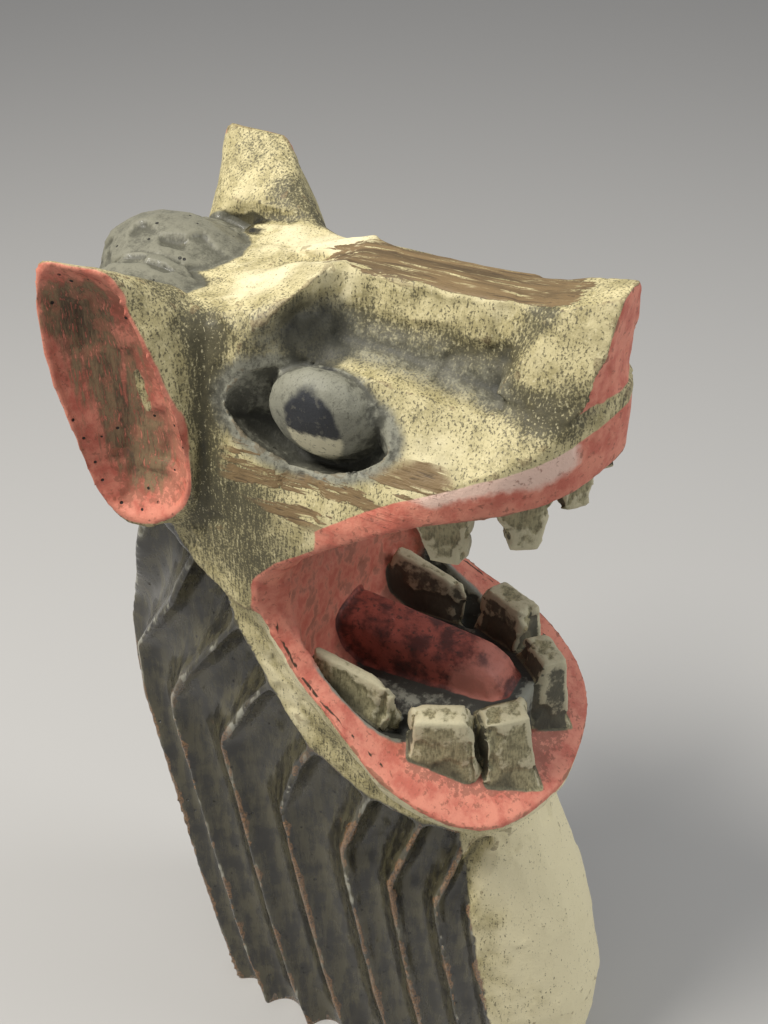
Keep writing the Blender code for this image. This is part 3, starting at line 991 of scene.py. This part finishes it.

# where dirt has gathered in the cream paint or has been wiped off, with painted shade along the
# snout's crease, under the brow, round the nose and at the roots of the ears: a line, its reach,
# how much
DIRT_AND_SHADE_LINES = [
    ([(40, 60, 350), (52, 61, 318)], 30, 0.55),
    ([(76, 20, 419), (140, 20, 414)], 13, 0.3),
    ([(158, 28, 408), (168, 27, 412)], 14, 0.35),
    ([(133, 23, 413), (147, 15, 440)], 8, 0.5),
    ([(30, 47, 418), (60, 40, 408)], 12, 0.2),
    ([(64, 61, 382), (112, 58, 392)], 20, -0.35),
    ([(15, 15, 430), (56, 20, 434)], 26, -0.3),
    ([(150, 0, 210), (120, 68, 215), (70, 64, 245), (45, 62, 300)], 24, -0.4),
    ([(190, 0, 60), (180, 0, 180)], 70, -0.6),
    ([(-16, 90, 440), (0, 92, 380)], 28, 0.15),
    ([(30, 54, 432), (33, 54, 392), (28, 56, 345)], 9, 0.7),
    ([(8, 50, 432), (28, 48, 420)], 13, 0.5),
    ([(140, 26, 410), (160, 31, 409)], 8, 0.5),
]
EVERYWHERE = 0.45
# kept for the cream paint: dirt, and painted shade in the crease and under the brow, nose and ears
dirt_and_shade_amount = np.full(len(points), EVERYWHERE)
for track, reach, amount in DIRT_AND_SHADE_LINES:
    share = np.clip(1 - line_distance(track) / reach, 0, 1)
    dirt_and_shade_amount += amount * share * (2 - share)
keep_zone("dirt_and_shade", dirt_and_shade_amount)


def proud(rounds):
    """Units that each point stands proud of its surroundings, wider with more rounds."""
    return ((points - smoothed(points, rounds)) * normals).sum(axis=1) / UNIT


keep_zone("edge", proud(8))
keep_zone("relief", proud(90))

# The paint
# Old oil paint over bare wood: cream on the head, coral red on lips, tongue and ears, glossy
# black on the mane. It is rubbed off on edges and along the grain, darker in the hollows, and
# carries painted shade in the deepest corners, creases and gaps.
paint = bpy.data.materials.new("worn_paint_on_wood")
paint.use_nodes = True
coats = paint.node_tree
finish = coats.nodes["Principled BSDF"]


def dip(kind, sockets, out=0, **settings):
    """A node of the paint, given what goes into its sockets. Returns one of its outputs."""
    node = coats.nodes.new(kind)
    for name, value in settings.items():
        setattr(node, name, value)
    for name, value in sockets.items():
        if isinstance(value, bpy.types.NodeSocket):
            coats.links.new(value, node.inputs[name])
        else:
            node.inputs[name].default_value = value
    return node.outputs[out]


def zone(name):
    return dip("ShaderNodeAttribute", {}, "Fac", attribute_name=name)


def plus(a, b):
    return dip("ShaderNodeMath", {0: a, 1: b}, operation="ADD")


def times(a, b):
    return dip("ShaderNodeMath", {0: a, 1: b}, operation="MULTIPLY")


def most(a, b):
    return dip("ShaderNodeMath", {0: a, 1: b}, operation="MAXIMUM")


def rise(value, low, high):
    """0 below low, 1 above high, smooth between."""
    sockets = {"Value": value, "From Min": low, "From Max": high}
    return dip("ShaderNodeMapRange", sockets, interpolation_type="SMOOTHSTEP")


def coat(under, over, share):
    """A colour laid over another by a share."""
    return dip("ShaderNodeMix", {0: share, 6: under, 7: over}, 2, data_type="RGBA")


place = dip("ShaderNodeTexCoord", {}, "Object")
down_grain = dip("ShaderNodeMapping", {"Vector": place, "Scale": (1.0, 0.09, 1.0)})
upright = dip("ShaderNodeMapping", {"Vector": place, "Scale": (1.0, 1.0, 0.16)})


def mottle(size, detail=4.0, rough=0.55, where=None, twist=0.0):
    """Noise whose largest blotches are about size units wide."""
    sockets = {"Vector": where or place, "Scale": 1.0 / (size * UNIT), "Detail": detail}
    sockets.update({"Roughness": rough, "Distortion": twist})
    return dip("ShaderNodeTexNoise", sockets, "Fac")


def colour(red, green, blue):
    return (red, green, blue, 1.0)


def swing(noise_value, amount):
    """Noise about 0, up to half the amount either way."""
    return times(plus(noise_value, -0.5), amount)


def inside_of(name, wobble=1.2, size=7.0, soft=0.35):
    """1 within a zone, with an edge as uneven as a brush leaves it."""
    return rise(plus(zone(name), swing(mottle(size, 3.0), 2 * wobble)), -soft, soft)


def mean(a, b):
    return plus(times(a, 0.5), times(b, 0.5))


grit = mottle(0.9, 3.0, 0.6)
speck = mottle(2.6, 5.0, 0.65)
blotch = mottle(9, 4.0, 0.6)
cloud = mottle(26, 3.0)
scratch = mottle(0.9, 3.0, 0.6, upright, 0.4)
streak = mottle(5.5, 5.0, 0.62, down_grain)
grain = mottle(1.5, 3.0, 0.55, down_grain, 0.3)
drip = mottle(5.0, 4.0, 0.6, upright)
edge = zone("edge")
relief = zone("relief")
hollowed = rise(plus(relief, swing(blotch, 1.6)), 0.2, -2.4)
# where the cream darkens: dirt, painted shade in the crease and under the brow, nose and ears, and more in
# the hollows
dirt_and_shade = plus(plus(zone("dirt_and_shade"), swing(cloud, 1.0)), times(hollowed, 0.4))

# bare wood, browned, with light and dark grain
OLD_WOOD = colour(0.095, 0.062, 0.026)
WARM_WOOD = colour(0.2, 0.132, 0.058)
LIGHT_GRAIN = colour(0.3, 0.21, 0.11)
DARK_GRAIN = colour(0.045, 0.028, 0.014)
wood = coat(OLD_WOOD, WARM_WOOD, rise(streak, 0.34, 0.64))
wood = coat(wood, LIGHT_GRAIN, times(rise(grain, 0.54, 0.68), 0.4))
wood = coat(wood, DARK_GRAIN, times(rise(grain, 0.4, 0.33), 0.6))

# cream paint, lighter on the raised parts and darker in the hollows, with olive grime and painted
# shade in the crease and under the brow, nose and ears, and fine dark scratches
DULL_CREAM = colour(0.38, 0.325, 0.155)
CREAM = colour(0.58, 0.505, 0.27)
CLEAN_CREAM = colour(0.78, 0.7, 0.45)
CHALKY_CREAM = colour(0.72, 0.65, 0.42)
DEEP_GRIME_AND_SHADE = colour(0.1, 0.09, 0.043)
GRIME_AND_SHADE = colour(0.24, 0.21, 0.105)
CREAM_SCRATCH = colour(0.05, 0.044, 0.023)
cream = coat(DULL_CREAM, CREAM, rise(blotch, 0.36, 0.62))
cream = coat(cream, CLEAN_CREAM, rise(dirt_and_shade, 0.42, -0.05))
# this dark olive coat is both grime and painted shade, as the zone that lays it holds both
grime_and_shade = coat(DEEP_GRIME_AND_SHADE, GRIME_AND_SHADE, rise(speck, 0.38, 0.6))
cream = coat(cream, grime_and_shade, times(rise(plus(dirt_and_shade, swing(speck, 1.5)), 0.42, 0.95), 0.85))
marks = mean(grit, scratch)
scratched = rise(plus(marks, times(dirt_and_shade, 0.14)), 0.57, 0.65)
cream = coat(cream, CREAM_SCRATCH, times(scratched, 0.8))
cream = coat(cream, CHALKY_CREAM, times(rise(marks, 0.43, 0.36), 0.5))

# grey round the eyes and in the crease of the snout, and painted shade in the brow hollow and
# the deepest corners
DARK_GREY = colour(0.09, 0.088, 0.067)
LIGHT_GREY = colour(0.24, 0.235, 0.18)
GREY_SCRATCH = colour(0.05, 0.047, 0.034)
PAINTED_SHADE_COLOUR = colour(0.03, 0.03, 0.022)
grey = coat(DARK_GREY, LIGHT_GREY, rise(plus(speck, times(edge, 0.4)), 0.36, 0.68))
grey = coat(grey, GREY_SCRATCH, times(rise(marks, 0.54, 0.62), 0.5))
greyed = most(inside_of("socket", 1.5, 9.0, 2.5), times(inside_of("crease", 4.0, 9.0, 6.0), 0.7))
head_paint = coat(cream, grey, greyed)
# painted shade, near black, in the deepest hollows of the carving and in the brow hollow
deepest = times(rise(plus(relief, swing(speck, 1.0)), -1.8, -3.4), 0.8)
painted_shade = most(inside_of("brow_hollow", 2.0, 7.0, 2.0), deepest)
head_paint = coat(head_paint, PAINTED_SHADE_COLOUR, times(painted_shade, 0.85))

# where the wood shows: the top of the snout, islands on the cheek and rubbed edges
islands = times(inside_of("cheek_streak", 4.0, 9.0, 3.0), rise(streak, 0.52, 0.54))
on_top = rise(plus(zone("snout_top"), plus(swing(streak, 26), swing(blotch, 10))), -0.5, 0.5)
bare = most(on_top, islands)
rubbed = times(rise(plus(edge, swing(blotch, 1.3)), 0.5, 0.62), 0.5)
surface = coat(head_paint, wood, times(most(bare, rubbed), rise(grain, 0.72, 0.55)))

# coral red on lips and nose, chalky on the upper lip, chipped on its edges
DEEP_CORAL = colour(0.5, 0.13, 0.085)
CORAL = colour(0.66, 0.24, 0.16)
CHALKY_CORAL = colour(0.8, 0.6, 0.49)
DULL_CORAL = colour(0.2, 0.075, 0.045)
CHIPPED_EDGE = colour(0.17, 0.09, 0.045)
CRACKED = colour(0.05, 0.026, 0.01)
red = coat(DEEP_CORAL, CORAL, rise(blotch, 0.34, 0.6))
chalky = rise(plus(zone("lip_pale"), swing(blotch, 12)), -1, 4)
dull = rise(plus(speck, times(hollowed, 0.2)), 0.56, 0.66)
chipped = rise(plus(edge, swing(blotch, 1.2)), 0.62, 0.75)
band = coat(red, CHALKY_CORAL, times(chalky, 0.85))
band = coat(band, DULL_CORAL, times(dull, 0.6))
band = coat(band, CHIPPED_EDGE, times(chipped, 0.6))
band = coat(band, CRACKED, inside_of("crack", 0.45, 12, 0.2))
surface = coat(surface, band, most(inside_of("lip", 0.6), inside_of("nose_front", 1.0, 4.0)))

# red inside the ears, worn through to brown down the middle
DARK_BROWN = colour(0.055, 0.04, 0.02)
BROWN = colour(0.25, 0.17, 0.09)
RED_BROWN = colour(0.4, 0.15, 0.09)
DULL_CUP = colour(0.2, 0.09, 0.05)
brown = coat(DARK_BROWN, BROWN, rise(mean(scratch, drip), 0.38, 0.6))
brown = coat(brown, RED_BROWN, times(rise(blotch, 0.5, 0.6), 0.5))
worn_cup = rise(plus(zone("cup_middle"), plus(swing(cloud, 26), swing(drip, 44))), -3, 6)
cup = coat(red, DULL_CUP, times(dull, 0.5))
cup = coat(cup, brown, times(worn_cup, rise(scratch, 0.34, 0.46)))
surface = coat(surface, cup, inside_of("ear_cup", 0.6))

# ashy grey in the mouth and red on its back wall
DARK_ASH = colour(0.04, 0.04, 0.032)
LIGHT_ASH = colour(0.22, 0.22, 0.175)
WALL_GRIME = colour(0.2, 0.08, 0.05)
ashy = plus(plus(speck, times(edge, 0.5)), times(relief, 0.06))
ash = coat(DARK_ASH, LIGHT_ASH, rise(ashy, 0.36, 0.66))
wall = coat(red, WALL_GRIME, times(rise(blotch, 0.48, 0.6), 0.6))
mouth = coat(ash, wall, rise(plus(zone("mouth_back"), swing(blotch, 14)), -1, 4))
surface = coat(surface, mouth, inside_of("mouth", 1.2, 5.0, 0.8))

# the dark red tongue with its lighter tip
OLD_BLOOD = colour(0.085, 0.02, 0.014)
BLOOD = colour(0.33, 0.075, 0.05)
TONGUE_GRIME = colour(0.03, 0.02, 0.015)
TONGUE_TIP = colour(0.5, 0.18, 0.13)
tip = rise(plus(zone("tongue_tip"), swing(blotch, 14)), 0, 5)
tongue_paint = coat(OLD_BLOOD, BLOOD, rise(blotch, 0.36, 0.62))
tongue_paint = coat(tongue_paint, TONGUE_GRIME, times(rise(speck, 0.55, 0.64), 0.7))
tongue_paint = coat(tongue_paint, TONGUE_TIP, times(tip, 0.75))
surface = coat(surface, tongue_paint, inside_of("tongue", 0.3))

# bone coloured teeth, with painted shade on the faces turned inward and back and in the gaps,
# pale along their edges
DARK_BONE = colour(0.14, 0.125, 0.065)
BONE = colour(0.33, 0.295, 0.165)
SHADED_BONE = colour(0.06, 0.058, 0.042)
PALE_BONE = colour(0.56, 0.51, 0.34)
TOOTH_GAP_SHADE = colour(0.035, 0.032, 0.02)
bone = coat(DARK_BONE, BONE, rise(mean(speck, scratch), 0.36, 0.6))
# painted shade on the faces of the teeth turned inward and back
bone = coat(bone, SHADED_BONE, times(inside_of("tooth_shade_side", 0.8, 7.0, 1.0), 0.85))
bone = coat(bone, PALE_BONE, times(rise(plus(edge, swing(speck, 0.8)), 0.12, 0.4), 0.75))
# painted shade in the gaps and hollows between the teeth
bone = coat(bone, TOOTH_GAP_SHADE, times(rise(relief, -0.6, -2.2), 0.7))
surface = coat(surface, bone, inside_of("teeth", 0.2))

# the black mane, grey on its ridges partly from wear and partly as a painted highlight, rusty low
# down, and the forelock grey partly from dust and partly as painted sheen
up_high = dip("ShaderNodeSeparateXYZ", {"Vector": place}, 2)
BLACK = colour(0.012, 0.0105, 0.006)
WORN_BLACK = colour(0.078, 0.068, 0.034)
RIDGE_WEAR_AND_HIGHLIGHT = colour(0.4, 0.39, 0.31)
DARK_RUST = colour(0.08, 0.045, 0.018)
RUST = colour(0.3, 0.15, 0.06)
DARK_DUST_AND_SHEEN = colour(0.085, 0.082, 0.058)
DUST_AND_SHEEN = colour(0.2, 0.192, 0.14)
black = coat(BLACK, WORN_BLACK, rise(plus(times(drip, 0.6), times(blotch, 0.4)), 0.4, 0.6))
# pale grey on the ridges: worn paint together with a painted highlight
black = coat(black, RIDGE_WEAR_AND_HIGHLIGHT, times(rise(plus(edge, swing(drip, 1.4)), 0.5, 0.72), 0.75))
rust = coat(DARK_RUST, RUST, rise(grit, 0.4, 0.6))
rusty = times(rise(plus(edge, swing(cloud, 2.4)), 0.4, 0.5), rise(up_high, 0.25, 0.18))
black = coat(black, rust, times(rusty, 0.8))
# the forelock's grey is dust together with a painted sheen of light from above
dust_and_sheen = plus(mean(speck, scratch), times(edge, 0.3))
on_tuft = inside_of("tuft", 1.0)
black = coat(black, coat(DARK_DUST_AND_SHEEN, DUST_AND_SHEEN, rise(dust_and_sheen, 0.32, 0.68)), on_tuft)
on_mane = inside_of("mane", 2.2, 9.0, 0.8)
surface = coat(surface, black, on_mane)

# the eye: a dark upper half and a pale lower half on a grey knob
EYE_DARK = colour(0.024, 0.026, 0.03)
EYE_PALE = colour(0.68, 0.63, 0.44)
EYE_GRIME = colour(0.11, 0.105, 0.085)
eye_level = plus(up_high, swing(speck, 0.006))
eye = coat(EYE_DARK, EYE_PALE, rise(eye_level, 0.394, 0.391))
eye = coat(eye, EYE_GRIME, times(rise(speck, 0.56, 0.62), 0.6))
surface = coat(surface, coat(grey, eye, inside_of("pupil", 2.0, 8.0, 1.0)), inside_of("eye", 0.5))

# worm holes in the ears and the mane
WORM_HOLE = colour(0.008, 0.007, 0.005)
WORM_SPACING = 7
worm = dip("ShaderNodeTexVoronoi", {"Vector": place, "Scale": 1.0 / (WORM_SPACING * UNIT)}, "Distance")
worm = times(rise(worm, 0.12, 0.08), rise(cloud, 0.44, 0.5))
worm = times(worm, most(inside_of("ear_cup", 0.0), on_mane))
surface = coat(surface, WORM_HOLE, worm)
coats.links.new(surface, finish.inputs["Base Color"])

# the mane is lacquered, the rest is matt
matt = plus(0.5, times(speck, 0.3))
glossy = plus(0.06, times(drip, 0.4))
lacquered = times(on_mane, plus(1.0, times(on_tuft, -0.8)))
shine = dip("ShaderNodeMix", {0: lacquered, 2: matt, 3: glossy}, 0, data_type="FLOAT")
coats.links.new(shine, finish.inputs["Roughness"])
coats.links.new(times(lacquered, 0.45), finish.inputs["Coat Weight"])
finish.inputs["Coat Roughness"].default_value = 0.12

# specks, grain and worm holes can be felt
height = plus(times(speck, 0.45), times(grit, 0.3))
height = plus(height, times(most(bare, 0.1), grain))
height = plus(height, times(times(on_mane, -1.0), times(speck, 0.3)))
height = plus(height, times(worm, -1.5))
bump = dip("ShaderNodeBump", {"Height": height, "Strength": 0.7, "Distance": 0.8 * UNIT}, "Normal")
coats.links.new(bump, finish.inputs["Normal"])

carving.data.materials.clear()
carving.data.materials.append(paint)
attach(carving, "root")
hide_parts("figurehead")

# The floor
# A wide pale floor that the figure stands on. It is plain and matt, and belongs to the picture
# only.
FLOOR_REACH = 6.0
floor_mesh = bpy.data.meshes.new("floor")
corners = [(x * FLOOR_REACH, y * FLOOR_REACH, 0) for x, y in ((-1, -1), (1, -1), (1, 1), (-1, 1))]
floor_mesh.from_pydata(corners, [], [(0, 1, 2, 3)])
floor = bpy.data.objects.new("floor", floor_mesh)
bpy.context.scene.collection.objects.link(floor)
pale = bpy.data.materials.new("pale_floor")
pale.use_nodes = True
pale_shader = pale.node_tree.nodes["Principled BSDF"]
pale_shader.inputs["Base Color"].default_value = colour(0.5, 0.49, 0.47)
pale_shader.inputs["Roughness"].default_value = 0.85
floor_mesh.materials.append(pale)

# The light
# A soft round lamp above and behind on the beast's right, a weaker and wider one in front on its
# left, and the even light of a pale room.


def soft_lamp(name, stand, size, power, tint):
    lamp = bpy.data.lights.new(name, "AREA")
    lamp.shape = "DISK"
    lamp.size = size
    lamp.energy = power
    lamp.color = tint
    holder = bpy.data.objects.new(name, lamp)
    bpy.context.scene.collection.objects.link(holder)
    holder.location = stand
    holder.rotation_mode = "QUATERNION"
    holder.rotation_quaternion = (HEAD_MIDDLE - Vector(stand)).to_track_quat("-Z", "Y")


HEAD_MIDDLE = Vector((0, 0, 0.3))
soft_lamp("lamp_over", (-0.5, 0.55, 1.5), 0.5, 24, (1.0, 0.97, 0.92))
soft_lamp("lamp_front", (0.5, -1.2, 1.2), 0.8, 9, (0.96, 0.98, 1.0))
room = bpy.data.worlds.new("room")
room.use_nodes = True
sky = room.node_tree.nodes["Background"]
sky.inputs["Color"].default_value = colour(0.96, 0.97, 1.0)
sky.inputs["Strength"].default_value = 0.35
bpy.context.scene.world = room

# The camera
# It looks down on the head from above its right cheek, as the photograph does, from a little over
# half a metre away.
CAMERA_PITCH = math.radians(36)
CAMERA_SWING = math.radians(27)
CAMERA_STAND = (-0.4008397, -0.1875329, 0.6491626)
camera = bpy.data.cameras.new("camera")
camera.sensor_width = 36
camera.lens = 45.7
viewer = bpy.data.objects.new("camera", camera)
bpy.context.scene.collection.objects.link(viewer)
viewer.location = CAMERA_STAND
level = math.cos(CAMERA_PITCH)
look = Vector((level * math.cos(CAMERA_SWING), level * math.sin(CAMERA_SWING), -math.sin(CAMERA_PITCH)))
viewer.rotation_mode = "QUATERNION"
viewer.rotation_quaternion = look.to_track_quat("-Z", "Y")
bpy.context.scene.camera = viewer
bpy.context.scene.view_settings.view_transform = "Standard"
